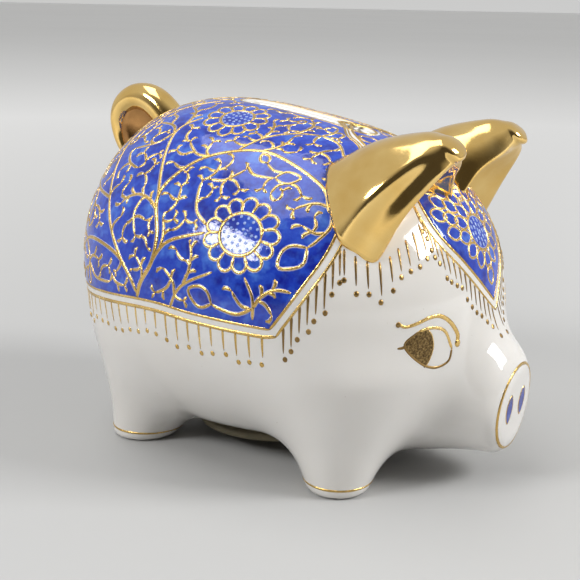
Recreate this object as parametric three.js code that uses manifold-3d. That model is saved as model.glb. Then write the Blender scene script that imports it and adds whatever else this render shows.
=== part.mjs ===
// Hand-decorated porcelain pig money bank.
// Millimetres. +X runs towards the snout, +Y to the pig's left, +Z up.
// The soles stand on z = 0 and the origin is the bottom centre of the bounding box.

import * as THREE from 'three';
import { mergeVertices } from 'three/addons/utils/BufferGeometryUtils.js';
import Module from 'manifold-3d';

const wasm = await Module();
wasm.setup();

// ---------------------------------------------------------------- dimensions
const GAP = 0.3;              // clearance between touching pieces
const WALL = 4.0;             // thickness of the cast shell
const SHIFT_X = -0.6;         // brings the centre of the bounding box over the origin

const TRUNK = { x: -21.0, z: 46.0, rx: 38.8, ry: 43.3, rz: 45.0, tilt: -13.7 };
const HEAD = { x: 14.4, z: 44.2, rx: 41.4, ry: 46.0, rz: 40.4 };
const BELLY_Z = 5.4;          // height of the flattened underside
const SNOUT = { x: 63.5, z: 20.0, rTip: 12.7, rBase: 14.0, length: 41.5, tilt: -1.4, edge: 4.1 };
const FRONT_LEG = { x: 29.1, y: 28.6, rSole: 7.5, xTop: 28.0, yTop: 23.0, rTop: 14.5 };
const REAR_LEG = { x: -34.9, y: 24.0, rSole: 8.2, xTop: -33.0, yTop: 20.0, rTop: 11.0 };
const LEG_TOP_Z = 31.0;
const BLEND = { trunk: 24.9, belly: 8.0, snout: 18.7, leg: 14.5 };

const SLOT = { x0: -16.0, x1: 21.0, width: 4.6 };
const PORT = { x: -6.0, radius: 19.0, seatRadius: 22.6, seatZ: 6.0 };
const STOPPER = { flangeRadius: 22.2, flangeZ: 3.5, top: 14.0, wall: 2.2, lead: 1.2 };

const CELL_OUT = 4.3;         // facet size of the outer skin
const CELL_IN = 7.5;          // facet size of the hidden inner skin
const ROUND_SEGMENTS = 40;

// Tail in the plane y = 0: x and z of the centre line, then the tube's radius there.
const TAIL_PATH = [
  [-40.2, 80.4, 4.5],
  [-43.9, 85.7, 4.4],
  [-48.8, 89.2, 4.2],
  [-54.2, 89.8, 3.7],
  [-58.6, 87.6, 3.2],
  [-60.7, 83.8, 2.7],
  [-60.6, 79.8, 2.3],
  [-59.2, 76.1, 2.1],
  [-56.6, 73.0, 2.0],
  [-53.4, 70.6, 1.9],
];

// Right ear: lines running from the head to the tip, in order round the section.
const EAR_LINES = [
  [[39.5, -32.3, 59.6], [45.0, -31.0, 70.0], [50.9, -26.9, 78.9], [52.8, -23.4, 82.8]],
  [[35.0, -34.6, 61.5], [41.2, -32.6, 72.0], [48.4, -28.3, 80.6], [51.9, -24.6, 84.4]],
  [[30.6, -35.6, 65.5], [37.8, -34.3, 75.0], [45.8, -29.4, 83.0], [50.7, -24.5, 86.3]],
  [[24.0, -29.0, 75.5], [33.2, -27.0, 83.0], [43.6, -23.6, 87.3], [49.6, -22.6, 87.7]],
  [[21.8, -20.6, 80.1], [32.6, -17.5, 85.6], [44.2, -17.6, 88.2], [49.6, -19.6, 88.0]],
  [[29.5, -9.5, 81.5], [38.0, -10.0, 84.2], [46.6, -13.8, 86.0], [50.5, -17.0, 87.2]],
  [[39.0, -4.5, 78.0], [44.0, -7.3, 80.8], [49.6, -12.9, 83.6], [51.8, -16.3, 85.7]],
  [[45.2, -3.5, 71.4], [47.6, -8.0, 76.6], [51.3, -13.6, 80.6], [52.8, -16.9, 84.0]],
  [[43.2, -8.5, 73.0], [46.2, -11.8, 77.2], [50.8, -16.8, 80.4], [53.2, -18.6, 82.9]],
  [[40.8, -15.5, 72.5], [44.6, -17.4, 76.4], [50.4, -19.8, 80.0], [53.4, -20.6, 82.4]],
  [[40.6, -25.5, 65.5], [45.2, -26.2, 73.0], [50.8, -24.0, 79.0], [53.3, -22.2, 82.4]],
];
const EAR_ROOT = 6.0;         // how far the ear is run into the head before trimming
const EAR_STEPS = [0, 0.12, 0.26, 0.42, 0.58, 0.74, 0.88, 1];
const EAR_TIP = [54.3, -20.6, 84.9];

// ---------------------------------------------------------- distance fields
function blendMin(a, b, k) {
  const h = Math.max(k - Math.abs(a - b), 0) / k;
  return Math.min(a, b) - h * h * k * 0.25;
}

function ellipsoid(x, y, z, e) {
  const t = THREE.MathUtils.degToRad(e.tilt ?? 0);
  const dx = x - e.x;
  const dz = z - e.z;
  const u = dx * Math.cos(t) - dz * Math.sin(t);
  const w = dx * Math.sin(t) + dz * Math.cos(t);
  const k0 = Math.hypot(u / e.rx, y / e.ry, w / e.rz);
  const k1 = Math.hypot(u / e.rx ** 2, y / e.ry ** 2, w / e.rz ** 2);
  return k0 * (k0 - 1) / Math.max(k1, 1e-9);
}

// Straight taper from radius r0 to r1 over a length; along and out are the distances
// measured along its axis and away from it. The ends are flat with a rounded edge.
function taper(along, out, length, r0, r1, edge) {
  const t = THREE.MathUtils.clamp(along / length, 0, 1);
  const slope = (r1 - r0) / length;
  const side = (out - (r0 + (r1 - r0) * t - edge)) / Math.hypot(1, slope);
  const end = Math.max(-along, along - length) + edge;
  const outside = Math.hypot(Math.max(side, 0), Math.max(end, 0));
  return outside + Math.min(Math.max(side, end), 0) - edge;
}

// A leg leans inwards as it rises and is cut off square by the floor afterwards.
function leg(x, y, z, l) {
  const edge = 2;
  const t = THREE.MathUtils.clamp(z / LEG_TOP_Z, -1, 1);
  const out = Math.hypot(x - l.x - (l.xTop - l.x) * t, Math.abs(y) - l.y - (l.yTop - l.y) * t);
  const slope = (l.rTop - l.rSole) / LEG_TOP_Z;
  const side = (out - l.rSole - (l.rTop - l.rSole) * t) / Math.hypot(1, slope) + edge;
  const end = Math.max(z - LEG_TOP_Z, -4 - z) + edge;
  return Math.hypot(Math.max(side, 0), Math.max(end, 0)) + Math.min(Math.max(side, end), 0) - edge;
}

function barrel(x, y, z) {
  const trunk = blendMin(ellipsoid(x, y, z, TRUNK), ellipsoid(x, y, z, HEAD), BLEND.trunk);
  const flat = -blendMin(-trunk, z - BELLY_Z, BLEND.belly);
  const t = THREE.MathUtils.degToRad(SNOUT.tilt);
  const dx = x - SNOUT.x;
  const dz = z - SNOUT.z;
  const along = dx * Math.cos(t) + dz * Math.sin(t) + SNOUT.length;
  const out = Math.hypot(y, dz * Math.cos(t) - dx * Math.sin(t));
  const snout = taper(along, out, SNOUT.length, SNOUT.rBase, SNOUT.rTip, SNOUT.edge);
  return blendMin(flat, snout, BLEND.snout);
}

function skin(x, y, z) {
  const front = blendMin(barrel(x, y, z), leg(x, y, z, FRONT_LEG), BLEND.leg);
  return blendMin(front, leg(x, y, z, REAR_LEG), BLEND.leg);
}

function gradient(field, p) {
  const e = 0.05;
  const g = new THREE.Vector3(
    field(p.x + e, p.y, p.z) - field(p.x - e, p.y, p.z),
    field(p.x, p.y + e, p.z) - field(p.x, p.y - e, p.z),
    field(p.x, p.y, p.z + e) - field(p.x, p.y, p.z - e),
  );
  return g.divideScalar(2 * e);
}

// ------------------------------------------------------------- mesh helpers
function toManifold(mesh) {
  const vertProperties = new Float32Array(mesh.points.flatMap((p) => [p.x, p.y, p.z]));
  const triVerts = new Uint32Array(mesh.faces.flat());
  return new wasm.Manifold(new wasm.Mesh({ numProp: 3, vertProperties, triVerts }));
}

function toNode(name, solid, material) {
  const out = solid.getMesh();
  const geometry = new THREE.BufferGeometry();
  geometry.setAttribute('position', new THREE.BufferAttribute(Float32Array.from(out.vertProperties), 3));
  geometry.setIndex(Array.from(out.triVerts));
  geometry.translate(SHIFT_X, 0, 0);
  geometry.computeVertexNormals();
  const node = new THREE.Mesh(geometry, material);
  node.name = name;
  return node;
}

// Skin of a distance field: one point per crossed cell, moved on to the surface.
function fieldMesh(field, cell) {
  const min = [-72, -56, -13];
  const count = [Math.ceil(146 / cell), 2 * Math.ceil(56 / cell), Math.ceil(111 / cell)];
  min[1] = -count[1] * cell / 2;
  const at = (i, a) => min[a] + i * cell;
  const key = (i, j, k) => (i * (count[1] + 1) + j) * (count[2] + 1) + k;
  const value = new Float64Array((count[0] + 1) * (count[1] + 1) * (count[2] + 1));
  for (let i = 0; i <= count[0]; i += 1) {
    for (let j = 0; j <= count[1]; j += 1) {
      for (let k = 0; k <= count[2]; k += 1) {
        value[key(i, j, k)] = field(at(i, 0), at(j, 1), at(k, 2));
      }
    }
  }
  const points = [];
  const pointOf = new Map();
  const cellPoint = (i, j, k) => {
    const id = key(i, j, k);
    if (!pointOf.has(id)) {
      pointOf.set(id, points.length);
      points.push(cellCrossing(field, value, key, at, i, j, k));
    }
    return pointOf.get(id);
  };
  const faces = [];
  const quad = (a, b, c, d) => {
    const ac = points[a].distanceTo(points[c]);
    const bd = points[b].distanceTo(points[d]);
    if (ac <= bd) {
      faces.push([a, b, c], [a, c, d]);
    } else {
      faces.push([a, b, d], [b, c, d]);
    }
  };
  for (let i = 1; i < count[0]; i += 1) {
    for (let j = 1; j < count[1]; j += 1) {
      for (let k = 1; k < count[2]; k += 1) {
        const here = value[key(i, j, k)] < 0;
        const ring = [
          [value[key(i + 1, j, k)] < 0, [[i, j - 1, k - 1], [i, j, k - 1], [i, j, k], [i, j - 1, k]]],
          [value[key(i, j + 1, k)] < 0, [[i - 1, j, k - 1], [i - 1, j, k], [i, j, k], [i, j, k - 1]]],
          [value[key(i, j, k + 1)] < 0, [[i - 1, j - 1, k], [i, j - 1, k], [i, j, k], [i - 1, j, k]]],
        ];
        for (const [there, cells] of ring) {
          if (here !== there) {
            const c = cells.map((n) => cellPoint(...n));
            quad(...(here ? c : c.reverse()));
          }
        }
      }
    }
  }
  return { points, faces };
}

function cellCrossing(field, value, key, at, i, j, k) {
  const sum = new THREE.Vector3();
  let n = 0;
  for (let c = 0; c < 8; c += 1) {
    const a = [i + (c & 1), j + ((c >> 1) & 1), k + ((c >> 2) & 1)];
    for (let axis = 0; axis < 3; axis += 1) {
      const b = [...a];
      b[axis] += 1;
      const inCell = !((c >> axis) & 1);
      const va = value[key(...a)];
      const vb = inCell ? value[key(...b)] : va;
      if (va < 0 !== vb < 0) {
        const t = va / (va - vb);
        const p = [at(a[0], 0), at(a[1], 1), at(a[2], 2)];
        p[axis] += t * (at(b[axis], axis) - at(a[axis], axis));
        sum.add(new THREE.Vector3(...p));
        n += 1;
      }
    }
  }
  const p = sum.divideScalar(n);
  for (let step = 0; step < 4; step += 1) {
    const g = gradient(field, p);
    p.addScaledVector(g, -field(p.x, p.y, p.z) / Math.max(g.lengthSq(), 0.2));
  }
  return p;
}

// Pushes every point of a skin outwards along the field.
function swell(mesh, field, distance) {
  const points = mesh.points.map((p) => {
    const g = gradient(field, p).normalize();
    return p.clone().addScaledVector(g, distance);
  });
  return { points, faces: mesh.faces };
}

// Closed skin over a stack of rings that all have the same number of points.
function skinRings(rings) {
  const n = rings[0].length;
  const points = rings.flat();
  const faces = [];
  for (let r = 0; r + 1 < rings.length; r += 1) {
    for (let s = 0; s < n; s += 1) {
      const a = r * n + s;
      const b = r * n + (s + 1) % n;
      faces.push([a, b, b + n], [a, b + n, a + n]);
    }
  }
  const last = (rings.length - 1) * n;
  for (const [start, flip] of [[0, true], [last, false]]) {
    const centre = new THREE.Vector3();
    for (let s = 0; s < n; s += 1) {
      centre.addScaledVector(points[start + s], 1 / n);
    }
    const hub = points.length;
    points.push(centre);
    for (let s = 0; s < n; s += 1) {
      const a = start + s;
      const b = start + (s + 1) % n;
      faces.push(flip ? [hub, b, a] : [hub, a, b]);
    }
  }
  return { points, faces };
}

// Solid from one of the three.js geometry classes.
function fromGeometry(geometry) {
  geometry.deleteAttribute('normal');
  geometry.deleteAttribute('uv');
  const merged = mergeVertices(geometry, 1e-4);
  const vertProperties = Float32Array.from(merged.attributes.position.array);
  const triVerts = Uint32Array.from(merged.index.array);
  return new wasm.Manifold(new wasm.Mesh({ numProp: 3, vertProperties, triVerts }));
}

// Solid of revolution about a vertical axis through x, from [radius, z] steps going up.
function turned(x, steps) {
  const first = steps[0][1];
  const last = steps[steps.length - 1][1];
  const profile = [[0, first], ...steps, [0, last]].map(([r, z]) => new THREE.Vector2(r, z));
  const geometry = new THREE.LatheGeometry(profile, ROUND_SEGMENTS);
  geometry.rotateX(Math.PI / 2);
  geometry.translate(x, 0, 0);
  return fromGeometry(geometry);
}

// ------------------------------------------------------------------- pieces
function slotCutter() {
  const r = SLOT.width / 2;
  const outline = new THREE.Shape();
  outline.absarc(SLOT.x1 - r, 0, r, -Math.PI / 2, Math.PI / 2, false);
  outline.absarc(SLOT.x0 + r, 0, r, Math.PI / 2, Math.PI * 1.5, false);
  const geometry = new THREE.ExtrudeGeometry(outline, { depth: 32, bevelEnabled: false, curveSegments: 10 });
  geometry.translate(0, 0, 68);
  return fromGeometry(geometry);
}

function floorCutter() {
  const geometry = new THREE.BoxGeometry(160, 140, 30);
  geometry.translate(0, 0, -15);
  return fromGeometry(geometry);
}

function bodyShell(outer) {
  const cavity = fieldMesh((x, y, z) => barrel(x, y, z) + WALL, CELL_IN);
  return toManifold(outer)
    .subtract(floorCutter())
    .subtract(toManifold(cavity))
    .subtract(slotCutter())
    .subtract(turned(PORT.x, [[PORT.radius, -2], [PORT.radius, 30]]))
    .subtract(turned(PORT.x, [[PORT.seatRadius, -2], [PORT.seatRadius, PORT.seatZ]]));
}

function earLineAt(line, t) {
  const points = line.map((c) => new THREE.Vector3(...c));
  return new THREE.CatmullRomCurve3(points, false, 'catmullrom', 0.5).getPoint(t);
}

function roundSection(keys, split) {
  const curve = new THREE.CatmullRomCurve3(keys, true, 'catmullrom', 0.5);
  return curve.getPoints(keys.length * split).slice(0, -1);
}

function earRings() {
  const rings = EAR_STEPS.map((t) => roundSection(EAR_LINES.map((line) => earLineAt(line, t)), 2));
  const root = rings[0].map((p) => {
    const inward = gradient(skin, p).normalize();
    return p.clone().addScaledVector(inward, -EAR_ROOT);
  });
  const last = rings[rings.length - 1];
  const centre = new THREE.Vector3();
  last.forEach((p) => centre.addScaledVector(p, 1 / last.length));
  const nose = new THREE.Vector3(...EAR_TIP).sub(centre);
  const dome = [0.5, 1.0, 1.4].map((a) => last.map((p) => {
    const q = centre.clone().addScaledVector(p.clone().sub(centre), Math.cos(a));
    return q.addScaledVector(nose, Math.sin(a));
  }));
  return [root, ...rings, ...dome];
}

function ear(side, clearance) {
  const rings = earRings().map((ring) => ring.map((p) => new THREE.Vector3(p.x, -side * p.y, p.z)));
  const ordered = side > 0 ? rings : rings.map((ring) => [...ring].reverse());
  return toManifold(skinRings(ordered)).subtract(clearance);
}

function tail(clearance) {
  const path = TAIL_PATH.map(([x, z, r]) => new THREE.Vector3(x, r, z));
  const curve = new THREE.CatmullRomCurve3(path, false, 'catmullrom', 0.5);
  const count = 2 * (path.length - 1);
  const rings = [];
  for (let i = 0; i <= count; i += 1) {
    const p = curve.getPoint(i / count);
    const along = curve.getTangent(i / count);
    const out = new THREE.Vector3(-along.z, 0, along.x).normalize();
    const ring = [];
    for (let s = 0; s < 16; s += 1) {
      const a = s / 16 * Math.PI * 2;
      const centre = new THREE.Vector3(p.x, -p.y * Math.sin(a), p.z);
      ring.push(centre.addScaledVector(out, p.y * Math.cos(a)));
    }
    rings.push(ring);
  }
  return toManifold(skinRings(rings)).subtract(clearance);
}

function stopper() {
  const plug = PORT.radius - GAP;
  const flangeTop = PORT.seatZ - GAP;
  const outside = turned(PORT.x, [
    [STOPPER.flangeRadius - 0.8, STOPPER.flangeZ],
    [STOPPER.flangeRadius, STOPPER.flangeZ + 0.8],
    [STOPPER.flangeRadius, flangeTop],
    [plug, flangeTop],
    [plug, STOPPER.top - STOPPER.lead],
    [plug - 0.8, STOPPER.top],
  ]);
  const cup = turned(PORT.x, [
    [plug - STOPPER.wall, STOPPER.flangeZ + STOPPER.wall],
    [plug - STOPPER.wall, STOPPER.top + 2],
  ]);
  return outside.subtract(cup);
}

// ----------------------------------------------------------------- assembly
const porcelain = new THREE.MeshStandardMaterial({ color: 0xf1efe9, roughness: 0.12, metalness: 0 });
const gilding = new THREE.MeshStandardMaterial({ color: 0xc79a3a, roughness: 0.15, metalness: 1 });
const rubber = new THREE.MeshStandardMaterial({ color: 0x8d8468, roughness: 0.6, metalness: 0 });

const outerSkin = fieldMesh(skin, CELL_OUT);
const clearance = toManifold(swell(outerSkin, skin, GAP));

const group = new THREE.Group();
group.name = 'pig_bank';
group.add(toNode('body_shell', bodyShell(outerSkin), porcelain));
group.add(toNode('right_ear', ear(-1, clearance), gilding));
group.add(toNode('left_ear', ear(1, clearance), gilding));
group.add(toNode('tail', tail(clearance), gilding));
group.add(toNode('stopper', stopper(), rubber));

export default group;
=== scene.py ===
"""Hand-decorated porcelain pig money bank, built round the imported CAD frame.

Lengths are in millimetres until a mesh is made, then metres. +X runs to the snout,
+Y to the pig's left, +Z up, and the soles stand on z = 0.
"""

import math

import bpy
import numpy as np
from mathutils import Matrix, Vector


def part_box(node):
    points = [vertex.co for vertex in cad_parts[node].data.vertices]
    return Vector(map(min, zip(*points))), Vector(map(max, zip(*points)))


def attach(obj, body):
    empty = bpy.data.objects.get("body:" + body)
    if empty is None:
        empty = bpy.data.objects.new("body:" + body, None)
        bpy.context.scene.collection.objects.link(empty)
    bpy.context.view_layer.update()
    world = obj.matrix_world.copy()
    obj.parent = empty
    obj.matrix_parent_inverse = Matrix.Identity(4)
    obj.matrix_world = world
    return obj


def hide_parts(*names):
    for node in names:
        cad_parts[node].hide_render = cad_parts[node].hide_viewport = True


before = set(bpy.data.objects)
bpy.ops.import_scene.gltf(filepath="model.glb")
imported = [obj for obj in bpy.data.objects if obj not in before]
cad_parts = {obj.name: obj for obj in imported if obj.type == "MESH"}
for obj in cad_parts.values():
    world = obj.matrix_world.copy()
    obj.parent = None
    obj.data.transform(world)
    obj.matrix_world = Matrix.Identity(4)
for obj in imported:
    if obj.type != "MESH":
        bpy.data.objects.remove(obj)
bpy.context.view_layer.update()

MM = 0.001  # metres in a millimetre
SHIFT = np.array([-0.6, 0.0, 0.0])  # brings the box's centre over the origin

# ---------------------------- proportions
TRUNK = dict(c=(-21.0, 0.0, 46.0), r=(38.8, 43.3, 45.0), tilt=-13.7)
HEAD = dict(c=(14.4, 0.0, 44.2), r=(41.4, 46.0, 40.4), tilt=0.0)
BELLY_Z = 5.4
SNOUT = dict(x=63.5, z=20.0, tip=12.7, base=14.0, length=41.5, tilt=-1.4, edge=4.1)
FRONT_LEG = dict(x=29.1, y=28.6, sole=7.5, xt=28.0, yt=23.0, top=14.5)
REAR_LEG = dict(x=-34.9, y=24.0, sole=8.2, xt=-33.0, yt=20.0, top=11.0)
LEG_TOP_Z = 31.0
BLEND = dict(trunk=24.9, belly=8.0, snout=18.7, leg=14.5)
WALL = 4.0
SOLE_ROUND = 1.7  # roundings of the shell's edges
SLOT_ROUND = 1.6
HOLE_ROUND = 0.8
SEAT_ROUND = 0.6

stopper_lo, stopper_hi = (np.array(v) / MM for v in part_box("stopper"))
PORT_X = 0.5 * (stopper_lo[0] + stopper_hi[0])
PORT_RADIUS = 19.0
SEAT_RADIUS = 22.6
SEAT_Z = 6.0
SLOT_X0, SLOT_X1, SLOT_HALF = -16.6, 20.4, 2.3
SLOT_RIM = 2.0  # bare porcelain round the slot


# ---------------------------- distance fields
def blend_min(a, b, k):
    """Union of two fields with a fillet about k wide."""
    h = np.maximum(k - np.abs(a - b), 0.0) / k
    return np.minimum(a, b) - h * h * k * 0.25


def blend_max(a, b, k):
    return -blend_min(-a, -b, k)


def ellipsoid(p, e):
    """Approximate distance to an ellipsoid turned about the y axis."""
    q = p - np.array(e["c"])
    t = math.radians(e["tilt"])
    u = q[..., 0] * math.cos(t) - q[..., 2] * math.sin(t)
    w = q[..., 0] * math.sin(t) + q[..., 2] * math.cos(t)
    rx, ry, rz = e["r"]
    k0 = np.sqrt((u / rx) ** 2 + (q[..., 1] / ry) ** 2 + (w / rz) ** 2)
    k1 = np.sqrt((u / rx ** 2) ** 2 + (q[..., 1] / ry ** 2) ** 2 + (w / rz ** 2) ** 2)
    return k0 * (k0 - 1.0) / np.maximum(k1, 1e-9)


def rounded(side, end, edge):
    """A drum with a rounded edge, from the distances to its side and its ends."""
    a = side + edge
    b = end + edge
    outside = np.hypot(np.maximum(a, 0.0), np.maximum(b, 0.0))
    return outside + np.minimum(np.maximum(a, b), 0.0) - edge


def leg(p, l):
    """Both legs of a pair: round tapered columns that lean with height."""
    t = np.clip(p[..., 2] / LEG_TOP_Z, -1.0, 1.0)
    dx = p[..., 0] - l["x"] - (l["xt"] - l["x"]) * t
    dy = np.abs(p[..., 1]) - l["y"] - (l["yt"] - l["y"]) * t
    slope = (l["top"] - l["sole"]) / LEG_TOP_Z
    side = (np.hypot(dx, dy) - l["sole"] - (l["top"] - l["sole"]) * t) / math.hypot(1.0, slope)
    end = np.maximum(p[..., 2] - LEG_TOP_Z, -4.0 - p[..., 2])
    return rounded(side, end, 2.0)


def barrel(q):
    """Trunk, head and snout, without the legs."""
    trunk = blend_min(ellipsoid(q, TRUNK), ellipsoid(q, HEAD), BLEND["trunk"])
    flat = blend_max(trunk, BELLY_Z - q[..., 2], BLEND["belly"])
    t = math.radians(SNOUT["tilt"])
    dx = q[..., 0] - SNOUT["x"]
    dz = q[..., 2] - SNOUT["z"]
    along = dx * math.cos(t) + dz * math.sin(t) + SNOUT["length"]
    out = np.hypot(q[..., 1], dz * math.cos(t) - dx * math.sin(t))
    s = np.clip(along / SNOUT["length"], 0.0, 1.0)
    slope = (SNOUT["tip"] - SNOUT["base"]) / SNOUT["length"]
    side = (out - SNOUT["base"] - (SNOUT["tip"] - SNOUT["base"]) * s) / math.hypot(1.0, slope)
    end = np.maximum(-along, along - SNOUT["length"])
    return blend_min(flat, rounded(side, end, SNOUT["edge"]), BLEND["snout"])


def skin(p):
    """Signed distance to the outer skin of the pig."""
    q = p - SHIFT
    d = blend_min(barrel(q), leg(q, FRONT_LEG), BLEND["leg"])
    return blend_min(d, leg(q, REAR_LEG), BLEND["leg"])


def slot_distance(p):
    """Distance from the slot's outline, seen from above."""
    x = np.clip(p[..., 0], SLOT_X0 + SLOT_HALF, SLOT_X1 - SLOT_HALF)
    return np.hypot(p[..., 0] - x, p[..., 1]) - SLOT_HALF


def shell(p):
    """The cast shell: skin, soles, coin chamber, slot and stopper hole."""
    slot_floor, hole_roof = 60.0, 30.0  # heights inside the chamber, where both cuts end
    d = blend_max(skin(p), -p[..., 2], SOLE_ROUND)
    d = np.maximum(d, -(barrel(p - SHIFT) + WALL))
    d = blend_max(d, np.minimum(-slot_distance(p), p[..., 2] - slot_floor), SLOT_ROUND)
    out = np.hypot(p[..., 0] - PORT_X, p[..., 1])
    d = blend_max(d, np.minimum(PORT_RADIUS - out, hole_roof - p[..., 2]), HOLE_ROUND)
    return blend_max(d, -rounded(out - SEAT_RADIUS, p[..., 2] - SEAT_Z, 0.2), SEAT_ROUND)


def gradient(field, p):
    e = 0.04
    g = np.empty_like(p)
    for a in range(3):
        s = np.zeros(3)
        s[a] = e
        g[..., a] = (field(p + s) - field(p - s)) / (2.0 * e)
    return g


def unit(v):
    return v / np.maximum(np.linalg.norm(v, axis=-1, keepdims=True), 1e-12)


def settle(field, p, steps=4):
    """Moves points near a surface on to it."""
    for _ in range(steps):
        g = gradient(field, p)
        p = p - g * (field(p) / np.maximum((g * g).sum(-1), 0.2))[..., None]
    return p


# ---------------------------- surface meshes
def steps(lo, hi, coarse, *fine):
    """Grid positions from lo to hi, with finer spacing inside the given bands."""
    out = [lo]
    while out[-1] < hi:
        size = coarse
        for a, b, small in fine:
            if a <= out[-1] < b:
                size = small
        out.append(out[-1] + size)
    return np.array(out)


def mirrored(values):
    return np.concatenate([-values[:0:-1], values])


def net(field, xs, ys, zs):
    """Quads of the zero surface of a field on a rectilinear grid."""
    axes = [xs, ys, zs]
    grid = np.stack(np.meshgrid(*axes, indexing="ij"), -1)
    value = field(grid)
    inside = value < 0
    count = np.array([len(a) - 1 for a in axes])
    total = np.zeros([*count, 3])
    hits = np.zeros(count)
    crossings = []

    def cells(where, a, db, dc):
        """The cells beside grid edges that run along axis a."""
        cell = where.copy()
        cell[:, (a + 1) % 3] -= db
        cell[:, (a + 2) % 3] -= dc
        return cell

    for a in range(3):
        lo = tuple(slice(0, -1) if k == a else slice(None) for k in range(3))
        hi = tuple(slice(1, None) if k == a else slice(None) for k in range(3))
        cross = inside[lo] != inside[hi]
        where = np.argwhere(cross)
        va, vb = value[lo][cross], value[hi][cross]
        point = grid[lo][cross]
        point[:, a] += va / (va - vb) * (axes[a][where[:, a] + 1] - axes[a][where[:, a]])
        crossings.append((a, where, inside[lo][cross]))
        for db in (0, 1):
            for dc in (0, 1):
                cell = cells(where, a, db, dc)
                ok = ((cell >= 0) & (cell < count)).all(1)
                np.add.at(total, tuple(cell[ok].T), point[ok])
                np.add.at(hits, tuple(cell[ok].T), 1)
    used = hits > 0
    index = np.full(count, -1, dtype=np.int64)
    index[used] = np.arange(used.sum())
    quads = []
    for a, where, solid in crossings:
        ring = [index[tuple(cells(where, a, db, dc).T)] for db, dc in ((1, 1), (0, 1), (0, 0), (1, 0))]
        quad = np.stack(ring, -1)
        quad[~solid] = quad[~solid][:, ::-1]
        quads.append(quad)
    return total[used] / hits[used][:, None], np.concatenate(quads)


def make_object(name, points, faces, material, smooth=True):
    mesh = bpy.data.meshes.new(name)
    mesh.from_pydata((np.asarray(points) * MM).tolist(), [], [list(map(int, f)) for f in faces])
    mesh.validate()
    mesh.polygons.foreach_set("use_smooth", [smooth] * len(mesh.polygons))
    mesh.materials.append(material)
    mesh.update()
    piece = bpy.data.objects.new(name, mesh)
    bpy.context.scene.collection.objects.link(piece)
    return piece


def clip(points, tris, f):
    """The part of a triangle mesh where f is below zero, cut exactly on f = 0."""
    keep = f < 0
    n_in = keep[tris].sum(1)
    whole = tris[n_in == 3]
    points = list(points)
    cut = {}

    def edge(i, j):
        key = (min(i, j), max(i, j))
        if key not in cut:
            t = f[i] / (f[i] - f[j])
            cut[key] = len(points)
            points.append(points[i] + (points[j] - points[i]) * t)
        return cut[key]

    extra = []
    for tri in tris[(n_in == 1) | (n_in == 2)]:
        k = keep[tri]
        odd = int(np.argmax(k)) if k.sum() == 1 else int(np.argmin(k))
        a, b, c = tri[odd], tri[(odd + 1) % 3], tri[(odd + 2) % 3]
        ab, ac = edge(a, b), edge(a, c)
        if k.sum() == 1:
            extra.append((a, ab, ac))
        else:
            extra.extend([(ab, b, c), (ab, c, ac)])
    faces = np.concatenate([whole, np.array(extra).reshape(-1, 3)]).astype(int)
    used = np.unique(faces)
    lookup = np.full(len(points), -1)
    lookup[used] = np.arange(len(used))
    return np.array(points)[used], lookup[faces]


SINK = 0.12  # how far a coating reaches below the skin, so that no gap shows


def thick_patch(points, tris, edge_distance, height):
    """Closed raised layer over a clipped patch of skin, thinning out towards its edge."""
    rim_width, rim_height = 0.8, 0.45
    normal = unit(gradient(skin, points))
    fade = np.clip(edge_distance / rim_width, 0.0, 1.0)
    lift = height * (rim_height + (1.0 - rim_height) * fade * (2.0 - fade))
    top = points + normal * lift[:, None]
    base = points - normal * SINK
    n = len(points)
    directed = np.concatenate([tris[:, [0, 1]], tris[:, [1, 2]], tris[:, [2, 0]]])
    code = directed[:, 0] * n + directed[:, 1]
    reverse = directed[:, 1] * n + directed[:, 0]
    rim = directed[~np.isin(code, reverse)]
    faces = tris.tolist() + (tris[:, ::-1] + n).tolist()
    faces += [[b, a, a + n, b + n] for a, b in rim.tolist()]
    return np.concatenate([top, base]), faces


# ---------------------------- drawing
# A flat chart of the right flank: distances along the skin from a middle direction.
CHART_O = np.array([-6.0, 0.0, 44.0])  # middle of the coin chamber
CHART_R = 45.0
CHART_C = unit(np.array([-0.10, -0.80, 0.59]))
CHART_X = unit(np.array([1.0, 0.0, 0.0]) - CHART_C * CHART_C[0])
CHART_Y = np.cross(CHART_C, CHART_X)


def reach(origin, direction, start, rounds=60):
    """Points of the skin along unit directions from an origin, sought from a first distance."""
    r = np.full(direction.shape[:-1], start)
    for _ in range(rounds):
        r = r - 0.85 * skin(origin + direction * r[..., None])
    return origin + direction * r[..., None]


def shoot(direction):
    """Points of the skin seen from the middle of the coin chamber."""
    return settle(skin, reach(CHART_O, direction, 80.0), 2)


def from_chart(q):
    """Chart coordinates (along, up) on the right flank to points on the skin."""
    q = np.asarray(q, float)
    size = np.maximum(np.linalg.norm(q, axis=-1, keepdims=True), 1e-9)
    angle = size / CHART_R
    side = (CHART_X * q[..., :1] + CHART_Y * q[..., 1:]) / size
    return shoot(CHART_C * np.cos(angle) + side * np.sin(angle))


def to_chart(p):
    d = unit(p - CHART_O)
    angle = np.arccos(np.clip(d @ CHART_C, -1.0, 1.0))
    side = np.stack([d @ CHART_X, d @ CHART_Y], -1)
    return unit(side) * (angle * CHART_R)[..., None]


def catmull(points, per=8, closed=False):
    """Smooth curve through points, per steps between each pair."""
    p = np.asarray(points, float)
    if closed:
        q = np.concatenate([p[-1:], p, p[:2]])
    else:
        q = np.concatenate([2 * p[:1] - p[1:2], p, 2 * p[-1:] - p[-2:-1]])
    out = []
    for a, b, c, d in zip(q, q[1:], q[2:], q[3:]):
        for s in range(per):
            t = s / per
            out.append(0.5 * (2 * b + (c - a) * t + (2 * a - 5 * b + 4 * c - d) * t * t
                              + (3 * b - a - 3 * c + d) * t ** 3))
    out.append(p[0] if closed else p[-1])
    return np.array(out)


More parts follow.
